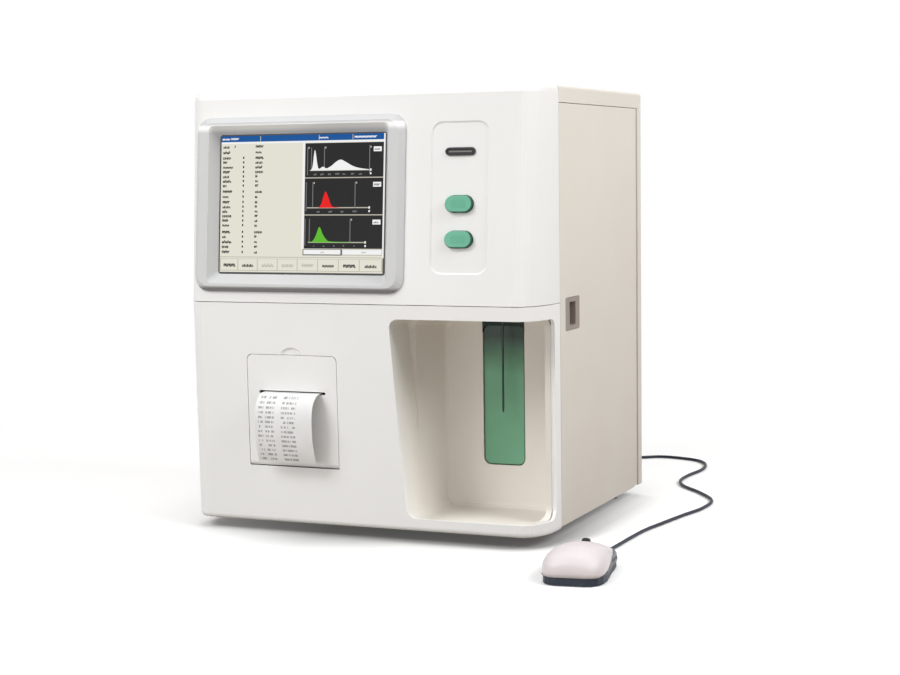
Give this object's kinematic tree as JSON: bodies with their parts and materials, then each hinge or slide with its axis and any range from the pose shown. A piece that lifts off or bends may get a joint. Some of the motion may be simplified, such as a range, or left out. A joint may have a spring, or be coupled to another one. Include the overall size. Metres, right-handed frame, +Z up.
{
  "type": "hematology analyzer",
  "caption": "Bench blood analyzer: tilted display, two keys, strip printer, wrap-round sampling bay with lifting needle, hinged side door and corded mouse.",
  "frame": {"origin": "middle of the analyzer's footprint on the bench, the mouse and its lead not counted", "axes": "+Z up, front with the display towards -Y, sampling bay and service door towards +X"},
  "size_m": [0.4535, 0.6632, 0.412],
  "materials": {
    "front_moulding": "satin moulded",
    "cover_paint": "fine powder coat",
    "bezel_plastic": "satin moulded",
    "bay_plastic": "satin moulded",
    "plate_green": "satin",
    "key_mint": "satin moulded",
    "display_glass": "display",
    "lamp_lens": "glossy",
    "trim_grey": "satin moulded",
    "dark_plastic": "satin moulded",
    "black_rubber": "matt",
    "plated_steel": "zinc plated",
    "board_green": "solder mask",
    "thermal_paper": "paper",
    "clear_plastic": "clear moulded",
    "mouse_white": "satin moulded",
    "mouse_navy": "satin moulded"
  },
  "bodies": {
    "housing": {"front_panel_upper": "front_moulding", "front_panel_lower": "front_moulding", "bay_liner": "bay_plastic", "needle_backplate": "plate_green", "screen_bezel": "bezel_plastic", "lcd_panel": "display_glass", "lamp_rim": "trim_grey", "lamp_lens": "lamp_lens", "key_board": "board_green", "printer_bin": "dark_plastic", "print_head": "dark_plastic", "base_tray": "plated_steel", "foot_front_left": "black_rubber", "foot_front_right": "black_rubber", "foot_rear_left": "black_rubber", "foot_rear_right": "black_rubber", "top_lid": "cover_paint", "left_cover": "cover_paint", "door_hinge_rod": "plated_steel", "rear_panel": "cover_paint", "door_catch": "dark_plastic", "lift_frame": "plated_steel", "lift_motor": "dark_plastic", "inner_plate": "plated_steel", "main_board": "board_green", "power_supply": "plated_steel", "valve_bank": "bay_plastic", "counting_baths": "clear_plastic", "syringe_frame": "plated_steel", "syringe_barrel": "clear_plastic", "waste_pump": "bay_plastic", "fan_frame": "dark_plastic", "mains_inlet": "dark_plastic", "reagent_ports": "bay_plastic", "usb_socket": "plated_steel", "mouse_base": "mouse_navy", "mouse_shell": "mouse_white", "mouse_plug": "mouse_navy", "mouse_cord": "mouse_navy", "mouse_cord_tail": "mouse_navy", "mouse_cord_coil": "mouse_navy"},
    "start_key": {"start_button": "key_mint"},
    "drain_key": {"drain_button": "key_mint"},
    "printer_flap": {"printer_door": "front_moulding", "paper_strip": "thermal_paper"},
    "roll": {"paper_roll": "thermal_paper"},
    "platen": {"platen_roller": "black_rubber"},
    "side_door": {"service_door": "cover_paint", "door_pull": "trim_grey"},
    "needle": {"needle_carriage": "bay_plastic", "sample_needle": "plated_steel"},
    "lift_drive": {"lift_screw": "plated_steel"},
    "plunger": {"syringe_plunger": "dark_plastic"},
    "pump_head": {"pump_rotor": "dark_plastic"},
    "fan": {"fan_rotor": "dark_plastic"},
    "rocker": {"power_rocker": "dark_plastic"},
    "mouse_key_left": {"mouse_button_left": "mouse_white"},
    "mouse_key_right": {"mouse_button_right": "mouse_white"},
    "wheel": {"mouse_wheel": "black_rubber"}
  },
  "joints": [
    {"name": "start_press", "type": "slide", "parent": "housing", "child": "start_key", "axis": [0, 1, 0], "range_m": [0, 0.0018], "stiffness_N_per_m": 400, "springref_m": -0.001},
    {"name": "drain_press", "type": "slide", "parent": "housing", "child": "drain_key", "axis": [0, 1, 0], "range_m": [0, 0.0018], "stiffness_N_per_m": 400, "springref_m": -0.001},
    {"name": "printer_door_hinge", "type": "hinge", "parent": "housing", "child": "printer_flap", "pos_m": [-0.06401, -0.14505, 0.0681], "axis": [1, 0, 0], "range_deg": [0, 60]},
    {"name": "paper_roll_spin", "type": "hinge", "parent": "housing", "child": "roll", "pos_m": [-0.06401, -0.1143, 0.095], "axis": [1, 0, 0], "continuous": true},
    {"name": "platen_spin", "type": "hinge", "parent": "housing", "child": "platen", "pos_m": [-0.06401, -0.13708, 0.127], "axis": [1, 0, 0], "continuous": true},
    {"name": "service_door_hinge", "type": "hinge", "parent": "housing", "child": "side_door", "pos_m": [0.175, 0.13715, 0.012], "axis": [0, 0, 1], "range_deg": [0, 90]},
    {"name": "needle_lift", "type": "slide", "parent": "housing", "child": "needle", "axis": [0, 0, 1], "range_m": [-0.022, 0.085]},
    {"name": "lift_screw_spin", "type": "hinge", "parent": "housing", "child": "lift_drive", "pos_m": [0.129, -0.04925, 0.2076], "axis": [0, 0, 1], "range_deg": [-800, 3080]},
    {"name": "syringe_stroke", "type": "slide", "parent": "housing", "child": "plunger", "axis": [0, 0, 1], "range_m": [0, 0.04]},
    {"name": "pump_spin", "type": "hinge", "parent": "housing", "child": "pump_head", "pos_m": [0.0326, 0.01875, 0.132], "axis": [1, 0, 0], "continuous": true},
    {"name": "fan_spin", "type": "hinge", "parent": "housing", "child": "fan", "pos_m": [-0.10001, 0.14275, 0.322], "axis": [0, 1, 0], "continuous": true},
    {"name": "power_rock", "type": "hinge", "parent": "housing", "child": "rocker", "pos_m": [-0.11, 0.15122, 0.08175], "axis": [1, 0, 0], "range_deg": [-14, 0]},
    {"name": "mouse_left_press", "type": "hinge", "parent": "housing", "child": "mouse_key_left", "pos_m": [0.24189, -0.21737, 0.0115], "axis": [-0.9903, -0.1392, 0], "range_deg": [0, 1.5], "stiffness_Nm_per_rad": 0.5, "springref_deg": -1.15},
    {"name": "mouse_right_press", "type": "hinge", "parent": "housing", "child": "mouse_key_right", "pos_m": [0.24189, -0.21737, 0.0115], "axis": [-0.9903, -0.1392, 0], "range_deg": [0, 1.5], "stiffness_Nm_per_rad": 0.5, "springref_deg": -1.15},
    {"name": "mouse_wheel_spin", "type": "hinge", "parent": "housing", "child": "wheel", "pos_m": [0.23954, -0.20065, 0.01722], "axis": [0.9903, 0.1392, 0], "continuous": true}
  ],
  "couplings": [
    {"joint": "platen_spin", "follows": "paper_roll_spin", "ratio": 3.5},
    {"joint": "lift_screw_spin", "follows": "needle_lift", "rad_per_m": 628.32}
  ]
}
